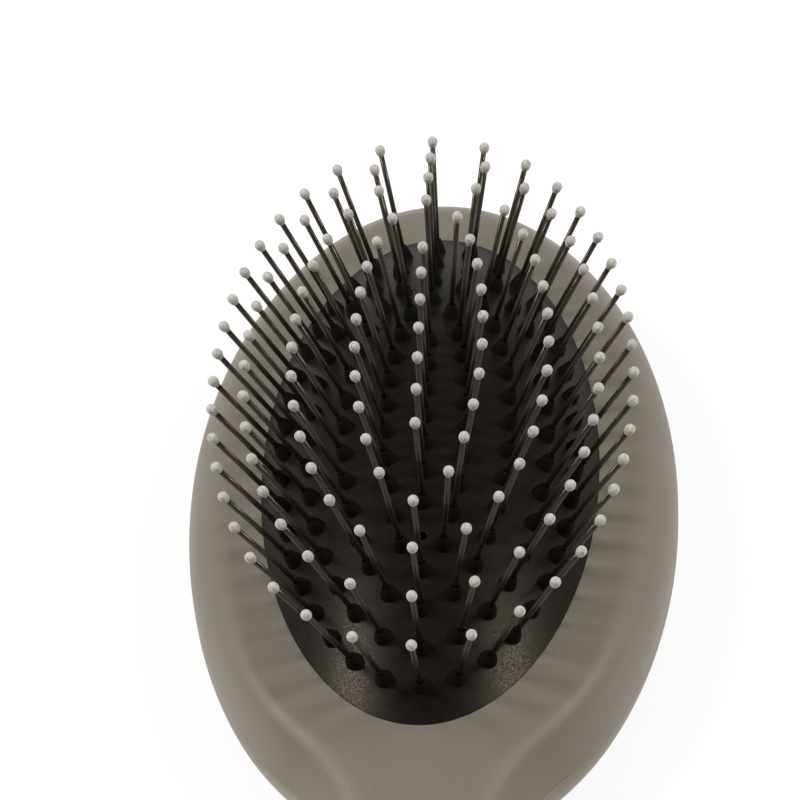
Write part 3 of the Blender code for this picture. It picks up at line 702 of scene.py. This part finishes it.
softTouchFinish = {
    "grey": "7e776b",
    "shade": "777064",
    "dust": "b4ada0",
    "marks": 26.0,  # size of a handling mark
    "grain": 0.3,  # about 0.1 mm on the real one, drawn coarser so that it shows
    "grainDepth": 0.008,
    "grainStrength": 0.35,
    "dustSpacing": 2.1,
    "dustSize": 0.055,  # radius of a speck
    "dustStrength": 0.5,
    "wearAndGlint": 0.33,  # spacing of the rubbed spots along the crest: wear, and painted glints on its highlight
    "wearAndGlintShare": (0.5, 0.72),  # a spot fades in between these levels of its noise
    "wearAndGlintStrength": 0.12,
    "roughness": (0.5, 0.6),
    "sheen": 0.38,
    "sheenRoughness": 0.45,
    "tint": (1.0, 0.87, 0.77, 1.0),
}


def softTouchPaint():
    # soft-touch paint on moulded ABS: a dull satin grey with a fine grain, faint handling marks, a
    # little pale dust, a crest rubbed paler, whose pale spots are also painted highlight, glints on
    # the lit crest, and a velvety light along its turned-away edges
    f = softTouchFinish
    smooth, rough = f["roughness"]
    material, tree, shader = newFinish("softTouchPaintOnAbs", f["grey"], rough)
    shader.inputs["Sheen Weight"].default_value = f["sheen"]
    shader.inputs["Sheen Roughness"].default_value = f["sheenRoughness"]
    shader.inputs["Sheen Tint"].default_value = f["tint"]
    shader.inputs["Specular Tint"].default_value = f["tint"]
    place = addNode(tree, "ShaderNodeTexCoord", {}, {}).outputs["Object"]
    marks = addNode(
        tree,
        "ShaderNodeTexNoise",
        {},
        {"Vector": place, "Scale": perMetre(f["marks"]), "Detail": 4.0},
    )
    shade = addNode(
        tree,
        "ShaderNodeMix",
        {"data_type": "RGBA"},
        {0: marks.outputs["Fac"], 6: linearFromHex(f["grey"]), 7: linearFromHex(f["shade"])},
    )
    cells = addNode(
        tree, "ShaderNodeTexVoronoi", {}, {"Vector": place, "Scale": perMetre(f["dustSpacing"])}
    )
    size = f["dustSize"] / f["dustSpacing"]
    speck = addNode(
        tree,
        "ShaderNodeMapRange",
        {},
        {
            "Value": cells.outputs["Distance"],
            "From Min": size,
            "From Max": size / 2,
            "To Max": f["dustStrength"],
        },
    )
    dusty = addNode(
        tree,
        "ShaderNodeMix",
        {"data_type": "RGBA"},
        {0: speck.outputs[0], 6: shade.outputs[2], 7: linearFromHex(f["dust"])},
    )
    spots = addNode(
        tree,
        "ShaderNodeTexNoise",
        {},
        {"Vector": place, "Scale": perMetre(f["wearAndGlint"]), "Detail": 1.0},
    )
    wornAndGlintFrom, wornAndGlintTo = f["wearAndGlintShare"]
    spotted = addNode(
        tree,
        "ShaderNodeMapRange",
        {},
        {
            "Value": spots.outputs["Fac"],
            "From Min": wornAndGlintFrom,
            "From Max": wornAndGlintTo,
            "To Max": f["wearAndGlintStrength"],
        },
    )
    wearAndGlint = addNode(tree, "ShaderNodeAttribute", {"attribute_name": "crestWearAndGlint"}, {})
    rubbedAndGlint = addNode(
        tree,
        "ShaderNodeMath",
        {"operation": "MULTIPLY"},
        {0: spotted.outputs[0], 1: wearAndGlint.outputs["Fac"]},
    )
    # partly painted highlight: the crest's rubbed spots drawn paler, as glints along the lit crest
    worn = addNode(
        tree,
        "ShaderNodeMix",
        {"data_type": "RGBA"},
        {0: rubbedAndGlint.outputs[0], 6: dusty.outputs[2], 7: linearFromHex(f["dust"])},
    )
    tree.links.new(worn.outputs[2], shader.inputs["Base Color"])
    gloss = addNode(
        tree,
        "ShaderNodeMapRange",
        {},
        {
            "Value": marks.outputs["Fac"],
            "From Min": noiseLow,
            "From Max": noiseHigh,
            "To Min": smooth,
            "To Max": rough,
        },
    )
    tree.links.new(gloss.outputs[0], shader.inputs["Roughness"])
    grain = addNode(
        tree,
        "ShaderNodeTexNoise",
        {},
        {"Vector": place, "Scale": perMetre(f["grain"]), "Detail": 2.0},
    )
    bump = addNode(
        tree,
        "ShaderNodeBump",
        {},
        {
            "Strength": f["grainStrength"],
            "Distance": f["grainDepth"] * mm,
            "Height": grain.outputs["Fac"],
        },
    )
    tree.links.new(bump.outputs[0], shader.inputs["Normal"])
    return material


rubberFinish = {
    "black": "161411",
    "bloom": "231f1a",
    "specularLevel": 0.13,
    "specular": (1.0, 0.85, 0.67, 1.0),
    "mottle": 1.6,  # size of a patch of bloom
    "mottleRoughness": 0.65,
    "fineMottle": 0.32,  # the mould's grain, drawn coarser than the real one so that it shows
    "fineRange": (0.35, 0.65),
    "mottleDepth": 0.013,
    "mottleStrength": 0.5,
    "scratchLength": 9.0,
    "scratchSpacing": 0.5,
    "scratchTurn": math.radians(24),
    "scratchRange": (0.68, 0.78),
    "scratchDepth": 0.6,  # of mottleDepth
    "roughness": (0.26, 0.43),
    # painted shade: the bosses' black is darker than the dome's, standing in for the shade on their
    # sides
    "bossShadeBlack": "110e0a",
    "bossRoughness": 0.75,
    "bossSpecularLevel": 0.12,
    "bossStrength": 0.3,
}


def mouldedRubber():
    # black moulded rubber: a soft warm sheen, broken by a fine mottle from the mould and by hair
    # scratches
    f = rubberFinish
    smooth, rough = f["roughness"]
    material, tree, shader = newFinish("mouldedBlackRubber", f["black"], rough)
    shader.inputs["Specular IOR Level"].default_value = f["specularLevel"]
    shader.inputs["Specular Tint"].default_value = f["specular"]
    place = addNode(tree, "ShaderNodeTexCoord", {}, {}).outputs["Object"]
    mottle = addNode(
        tree,
        "ShaderNodeTexNoise",
        {},
        {
            "Vector": place,
            "Scale": perMetre(f["mottle"]),
            "Detail": 5.0,
            "Roughness": f["mottleRoughness"],
        },
    )
    color = addNode(
        tree,
        "ShaderNodeMix",
        {"data_type": "RGBA"},
        {0: mottle.outputs["Fac"], 6: linearFromHex(f["black"]), 7: linearFromHex(f["bloom"])},
    )
    tree.links.new(color.outputs[2], shader.inputs["Base Color"])
    fine = addNode(
        tree,
        "ShaderNodeTexNoise",
        {},
        {"Vector": place, "Scale": perMetre(f["fineMottle"]), "Detail": 3.0},
    )
    fineLow, fineHigh = f["fineRange"]
    gloss = addNode(
        tree,
        "ShaderNodeMapRange",
        {},
        {
            "Value": fine.outputs["Fac"],
            "From Min": fineLow,
            "From Max": fineHigh,
            "To Min": smooth,
            "To Max": rough,
        },
    )
    tree.links.new(gloss.outputs[0], shader.inputs["Roughness"])
    lengthwise = perMetre(f["scratchLength"])
    turned = addNode(
        tree,
        "ShaderNodeMapping",
        {},
        {
            "Vector": place,
            "Rotation": (0.0, 0.0, f["scratchTurn"]),
            "Scale": (lengthwise, perMetre(f["scratchSpacing"]), lengthwise),
        },
    )
    hair = addNode(
        tree,
        "ShaderNodeTexNoise",
        {},
        {"Vector": turned.outputs[0], "Scale": 1.0, "Detail": 1.0},
    )
    scratchFrom, scratchTo = f["scratchRange"]
    scratch = addNode(
        tree,
        "ShaderNodeMapRange",
        {},
        {
            "Value": hair.outputs["Fac"],
            "From Min": scratchFrom,
            "From Max": scratchTo,
            "To Max": f["scratchDepth"],
        },
    )
    height = addNode(
        tree,
        "ShaderNodeMath",
        {"operation": "SUBTRACT"},
        {0: fine.outputs["Fac"], 1: scratch.outputs[0]},
    )
    bump = addNode(
        tree,
        "ShaderNodeBump",
        {},
        {
            "Strength": f["mottleStrength"],
            "Distance": f["mottleDepth"] * mm,
            "Height": height.outputs[0],
        },
    )
    tree.links.new(bump.outputs[0], shader.inputs["Normal"])
    return material


def bossRubber():
    # the same rubber on the small bosses, left dull by the mould, and painted a darker black than
    # the dome's: painted shade for their shaded sides, darker still in the low parts of the grain
    f = rubberFinish
    material, tree, shader = newFinish("dullBossRubberPaintedShade", f["bossShadeBlack"], f["bossRoughness"])
    shader.inputs["Specular IOR Level"].default_value = f["bossSpecularLevel"]
    shader.inputs["Specular Tint"].default_value = f["specular"]
    place = addNode(tree, "ShaderNodeTexCoord", {}, {}).outputs["Object"]
    fine = addNode(
        tree,
        "ShaderNodeTexNoise",
        {},
        {"Vector": place, "Scale": perMetre(f["fineMottle"]), "Detail": 3.0},
    )
    color = addNode(
        tree,
        "ShaderNodeMix",
        {"data_type": "RGBA"},
        {0: fine.outputs["Fac"], 6: linearFromHex(f["bossShadeBlack"]), 7: linearFromHex(f["black"])},
    )
    tree.links.new(color.outputs[2], shader.inputs["Base Color"])
    bump = addNode(
        tree,
        "ShaderNodeBump",
        {},
        {
            "Strength": f["bossStrength"],
            "Distance": f["mottleDepth"] * mm,
            "Height": fine.outputs["Fac"],
        },
    )
    tree.links.new(bump.outputs[0], shader.inputs["Normal"])
    return material


wireFinish = {
    "steel": "39322a",
    "worn": "443d33",
    "metallic": 0.4,
    "specularLevel": 0.3,
    "streak": 0.25,  # width of a drawing streak round the wire, coarser than the real one
    "streakLength": 9.0,
    "roughness": (0.2, 0.29),
}


def drawnWire():
    # drawn steel wire under a dark oxide, so only partly metal: an even brown black, with thin
    # bright lines along both edges and faint streaks lengthwise
    f = wireFinish
    smooth, rough = f["roughness"]
    material, tree, shader = newFinish("oxidisedSteelWire", f["steel"], rough, f["metallic"])
    shader.inputs["Specular IOR Level"].default_value = f["specularLevel"]
    along = addNode(tree, "ShaderNodeAttribute", {"attribute_name": "wirePlace"}, {})
    sized = addNode(
        tree,
        "ShaderNodeVectorMath",
        {"operation": "MULTIPLY"},
        {0: along.outputs["Vector"], 1: (1 / f["streak"], 1 / f["streak"], 1 / f["streakLength"])},
    )
    streaks = addNode(
        tree,
        "ShaderNodeTexNoise",
        {},
        {"Vector": sized.outputs[0], "Scale": 1.0, "Detail": 3.0},
    )
    color = addNode(
        tree,
        "ShaderNodeMix",
        {"data_type": "RGBA"},
        {0: streaks.outputs["Fac"], 6: linearFromHex(f["steel"]), 7: linearFromHex(f["worn"])},
    )
    tree.links.new(color.outputs[2], shader.inputs["Base Color"])
    gloss = addNode(
        tree,
        "ShaderNodeMapRange",
        {},
        {
            "Value": streaks.outputs["Fac"],
            "From Min": noiseLow,
            "From Max": noiseHigh,
            "To Min": smooth,
            "To Max": rough,
        },
    )
    tree.links.new(gloss.outputs[0], shader.inputs["Roughness"])
    return material


tipFinish = {
    "pale": "cdc8c0",
    # painted shade: the colour of the pits
    "grey": "a39e97",
    "specularLevel": 0.35,
    "pit": 0.42,
    "pitRoughness": 0.6,
    "pitRange": (0.3, 0.55),
    "pitDepth": 0.09,
    "pitStrength": 0.8,
    "roughness": 0.62,
}


def dippedResin():
    # beads of pale epoxy resin, dipped and cured: matt, slightly uneven and pitted, and painted
    # greyer in the pits: painted shade in them
    f = tipFinish
    material, tree, shader = newFinish("dippedEpoxyResin", f["pale"], f["roughness"])
    shader.inputs["Specular IOR Level"].default_value = f["specularLevel"]
    place = addNode(tree, "ShaderNodeTexCoord", {}, {}).outputs["Object"]
    pits = addNode(
        tree,
        "ShaderNodeTexNoise",
        {},
        {
            "Vector": place,
            "Scale": perMetre(f["pit"]),
            "Detail": 3.0,
            "Roughness": f["pitRoughness"],
        },
    )
    pitLow, pitHigh = f["pitRange"]
    raised = addNode(
        tree,
        "ShaderNodeMapRange",
        {},
        {"Value": pits.outputs["Fac"], "From Min": pitLow, "From Max": pitHigh},
    )
    # painted shade: greyer where the pitting's bump is low
    color = addNode(
        tree,
        "ShaderNodeMix",
        {"data_type": "RGBA"},
        {0: raised.outputs[0], 6: linearFromHex(f["grey"]), 7: linearFromHex(f["pale"])},
    )
    tree.links.new(color.outputs[2], shader.inputs["Base Color"])
    bump = addNode(
        tree,
        "ShaderNodeBump",
        {},
        {
            "Strength": f["pitStrength"],
            "Distance": f["pitDepth"] * mm,
            "Height": pits.outputs["Fac"],
        },
    )
    tree.links.new(bump.outputs[0], shader.inputs["Normal"])
    return material


backingFinish = {
    "black": "1c1a18",
    "thread": "2c2926",
    "threadSpacing": 0.5,
    "weaveDepth": 0.06,
    "weaveStrength": 0.6,
    "roughness": 0.8,
}


def rubberisedCotton():
    # cotton duck pressed into black rubber: a dull black with the plain weave standing through
    f = backingFinish
    material, tree, shader = newFinish("rubberisedCotton", f["black"], f["roughness"])
    place = addNode(tree, "ShaderNodeTexCoord", {}, {}).outputs["Object"]
    waves = []
    for direction in ("X", "Y"):  # a wave's length is 1 / scale of 20 / (2 pi)
        scale = perMetre(f["threadSpacing"]) * 2 * math.pi / 20
        settings = {"wave_type": "BANDS", "bands_direction": direction}
        wave = addNode(tree, "ShaderNodeTexWave", settings, {"Vector": place, "Scale": scale})
        waves.append(wave.outputs["Fac"])
    weave = addNode(
        tree, "ShaderNodeMath", {"operation": "MAXIMUM"}, {0: waves[0], 1: waves[1]}
    ).outputs[0]
    color = addNode(
        tree,
        "ShaderNodeMix",
        {"data_type": "RGBA"},
        {0: weave, 6: linearFromHex(f["black"]), 7: linearFromHex(f["thread"])},
    )
    tree.links.new(color.outputs[2], shader.inputs["Base Color"])
    bump = addNode(
        tree,
        "ShaderNodeBump",
        {},
        {"Strength": f["weaveStrength"], "Distance": f["weaveDepth"] * mm, "Height": weave},
    )
    tree.links.new(bump.outputs[0], shader.inputs["Normal"])
    return material


trayFinish = {
    "black": "2b2a29",
    "grain": 0.6,  # coarser than the real one, so that it shows
    "grainDepth": 0.03,
    "grainStrength": 0.4,
    "roughness": (0.5, 0.66),
}


def mouldedTray():
    # plain black moulded ABS inside the head, with the dull grain of a spark-eroded mould
    f = trayFinish
    smooth, rough = f["roughness"]
    material, tree, shader = newFinish("mouldedBlackAbs", f["black"], rough)
    place = addNode(tree, "ShaderNodeTexCoord", {}, {}).outputs["Object"]
    grain = addNode(
        tree,
        "ShaderNodeTexNoise",
        {},
        {"Vector": place, "Scale": perMetre(f["grain"]), "Detail": 3.0},
    )
    gloss = addNode(
        tree,
        "ShaderNodeMapRange",
        {},
        {
            "Value": grain.outputs["Fac"],
            "From Min": noiseLow,
            "From Max": noiseHigh,
            "To Min": smooth,
            "To Max": rough,
        },
    )
    tree.links.new(gloss.outputs[0], shader.inputs["Roughness"])
    bump = addNode(
        tree,
        "ShaderNodeBump",
        {},
        {
            "Strength": f["grainStrength"],
            "Distance": f["grainDepth"] * mm,
            "Height": grain.outputs["Fac"],
        },
    )
    tree.links.new(bump.outputs[0], shader.inputs["Normal"])
    return material


softTouch = softTouchPaint()
blackRubber = mouldedRubber()
shadedBossRubber = bossRubber()
wireSteel = drawnWire()
tipResin = dippedResin()
trayPlastic = mouldedTray()
backingCloth = rubberisedCotton()
print("materials made")


# The object's pieces

faceShell = buildFaceShell()
backShell = buildBackShell()
for piece, node in ((faceShell, "face_shell"), (backShell, "back_shell")):
    piece.data.materials.append(softTouch)
    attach(piece, brushBody)
    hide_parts(node)
print("shells built", len(faceShell.data.polygons), len(backShell.data.polygons))

dome = buildCushion()
dome.data.materials.append(blackRubber)
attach(dome, brushBody)
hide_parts("cushion_membrane")
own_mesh(dome)
for body in dict.fromkeys(body for _, body, _ in groups):
    places = np.concatenate([places for _, owner, places in groups if owner == body])
    buildBosses(body, places).data.materials.append(shadedBossRubber)
print("cushion built")

for name, body, places in groups:
    wirePiece, tipPiece = buildPins(name, body, places)
    wirePiece.data.materials.append(wireSteel)
    tipPiece.data.materials.append(tipResin)
    buildBacking(name, body, places).data.materials.append(backingCloth)
print("pins built")

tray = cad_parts["cushion_tray"]
tray.data.materials.clear()
tray.data.materials.append(trayPlastic)


# Camera

cameraFit = {
    "place": (34.04, -374.39, 391.51),  # in mm from the middle of the cushion's rim
    "slide": 0.3,  # to the left
    "forward": (-0.07035, 0.70298, -0.70772),
    "up": (0.02172, 0.71039, 0.70348),
    "lens": 159.2,
    "film": 36.0,
    "nearest": 10.0,
}


def addCamera():
    data = bpy.data.cameras.new("camera")
    data.lens = cameraFit["lens"]
    data.sensor_width = cameraFit["film"]
    data.clip_start = cameraFit["nearest"] * mm
    camera = bpy.data.objects.new("camera", data)
    bpy.context.scene.collection.objects.link(camera)
    back = -Vector(cameraFit["forward"]).normalized()
    right = Vector(cameraFit["up"]).cross(back).normalized()
    up = back.cross(right)
    matrix = Matrix((right, up, back)).transposed().to_4x4()
    place = np.array(cameraFit["place"]) + headCentre - np.array(right) * cameraFit["slide"]
    matrix.translation = Vector(place * mm)
    camera.matrix_world = matrix
    bpy.context.scene.camera = camera


addCamera()


# Studio

studio = {
    "paper": "f4f4f4",
    "paperRoughness": 0.9,
    "floorSize": 3000.0,
    "floorGap": 0.05,
    "floorGlow": 0.82,  # near the object, where the lit grey adds the rest of the white
    "floorShadow": 0.24,
    "shadowReach": (160.0, 420.0),
    "left": {"azimuth": -90.0, "elevation": 51.0, "distance": 700.0, "size": 180.0, "power": 2.76},
    "right": {"azimuth": 88.0, "elevation": 49.0, "distance": 700.0, "size": 180.0, "power": 2.44},
    # the world's grades: from and to this much of the direction, and the levels there
    "fill": (0.0, 0.9, 0.62, 0.2),  # from the horizon up
    "sides": (-1.0, 1.0, 1.2, 0.8),  # from left to right
    "front": (-0.9, -0.2, 0.2, 1.0),  # from the front back
    "backdrop": (0.05, 0.68, 1.0, 0.03),  # from the horizon up
}


def addSoftbox(name, box):
    light = bpy.data.lights.new(name, "AREA")
    light.shape = "SQUARE"
    light.size = box["size"] * mm
    light.energy = box["power"]
    lamp = bpy.data.objects.new(name, light)
    azimuth = math.radians(box["azimuth"])
    elevation = math.radians(box["elevation"])
    level = math.cos(elevation)
    toward = Vector((math.sin(azimuth) * level, math.cos(azimuth) * level, math.sin(elevation)))
    lamp.location = Vector(headCentre * mm) + toward * box["distance"] * mm
    lamp.rotation_euler = toward.to_track_quat("Z", "Y").to_euler()
    bpy.context.scene.collection.objects.link(lamp)


def seenRays(tree):  # 1 for camera, glossy and transmission rays
    rays = addNode(tree, "ShaderNodeLightPath", {}, {}).outputs
    seen = rays["Is Camera Ray"]
    for kind in ("Is Glossy Ray", "Is Transmission Ray"):
        both = addNode(tree, "ShaderNodeMath", {"operation": "MAXIMUM"}, {0: seen, 1: rays[kind]})
        seen = both.outputs[0]
    return seen


def addFloor():
    half = studio["floorSize"] / 2
    z = -studio["floorGap"]
    corners = np.array([[-half, -half, z], [half, -half, z], [half, half, z], [-half, half, z]])
    floor = addMesh("floor", corners - headCentre, [[0, 1, 2, 3]], smooth=False)
    material = bpy.data.materials.new("paperSweep")
    material.use_nodes = True
    tree = material.node_tree
    shader = tree.nodes["Principled BSDF"]
    shader.inputs["Base Color"].default_value = linearFromHex(studio["paper"])
    shader.inputs["Roughness"].default_value = studio["paperRoughness"]
    # seen directly, reflected or through glass, the floor shows white with a faint shadow, and
    # beyond the shadow's reach plain white
    place = addNode(tree, "ShaderNodeTexCoord", {}, {}).outputs["Object"]
    away = addNode(tree, "ShaderNodeVectorMath", {"operation": "LENGTH"}, {0: place})
    near, far = studio["shadowReach"]
    strength = addNode(
        tree,
        "ShaderNodeMapRange",
        {},
        {
            "Value": away.outputs["Value"],
            "From Min": near * mm,
            "From Max": far * mm,
            "To Min": studio["floorGlow"],
            "To Max": 1.0,
        },
    )
    glow = addNode(tree, "ShaderNodeEmission", {}, {"Strength": strength.outputs[0]})
    grey = [studio["floorShadow"]] * 3 + [1.0]
    faint = addNode(tree, "ShaderNodeBsdfDiffuse", {}, {"Color": grey})
    both = addNode(tree, "ShaderNodeAddShader", {}, {0: glow.outputs[0], 1: faint.outputs[0]})
    mix = addNode(
        tree,
        "ShaderNodeMixShader",
        {},
        {0: seenRays(tree), 1: shader.outputs[0], 2: both.outputs[0]},
    )
    tree.links.new(mix.outputs[0], tree.nodes["Material Output"].inputs["Surface"])
    floor.data.materials.append(material)


def addWorld():
    # seen directly, reflected or through glass, the room is a white backdrop under a dark ceiling.
    # What lights the object is dimmer, brighter from the left, and dimmest from the front
    world = bpy.data.worlds.new("studio")
    bpy.context.scene.world = world
    world.use_nodes = True
    tree = world.node_tree
    tree.nodes.clear()
    direction = addNode(tree, "ShaderNodeTexCoord", {}, {}).outputs["Generated"]
    parts = addNode(tree, "ShaderNodeSeparateXYZ", {}, {0: direction}).outputs
    grades = {}
    for name, axis in (("fill", "Z"), ("sides", "X"), ("front", "Y"), ("backdrop", "Z")):
        start, stop, startLevel, stopLevel = studio[name]
        grade = addNode(
            tree,
            "ShaderNodeMapRange",
            {},
            {
                "Value": parts[axis],
                "From Min": start,
                "From Max": stop,
                "To Min": startLevel,
                "To Max": stopLevel,
            },
        )
        grades[name] = grade.outputs[0]
    fillLevel = grades["fill"]
    for name in ("sides", "front"):
        product = addNode(
            tree, "ShaderNodeMath", {"operation": "MULTIPLY"}, {0: fillLevel, 1: grades[name]}
        )
        fillLevel = product.outputs[0]
    white = (1.0, 1.0, 1.0, 1.0)
    fill = addNode(tree, "ShaderNodeBackground", {}, {"Color": white, "Strength": fillLevel})
    backdrop = addNode(
        tree, "ShaderNodeBackground", {}, {"Color": white, "Strength": grades["backdrop"]}
    )
    shown = addNode(
        tree,
        "ShaderNodeMixShader",
        {},
        {0: seenRays(tree), 1: fill.outputs[0], 2: backdrop.outputs[0]},
    )
    addNode(tree, "ShaderNodeOutputWorld", {}, {"Surface": shown.outputs[0]})


addSoftbox("softboxLeft", studio["left"])
addSoftbox("softboxRight", studio["right"])
addFloor()
addWorld()
bpy.context.scene.view_settings.view_transform = "Standard"

print("studio ready")
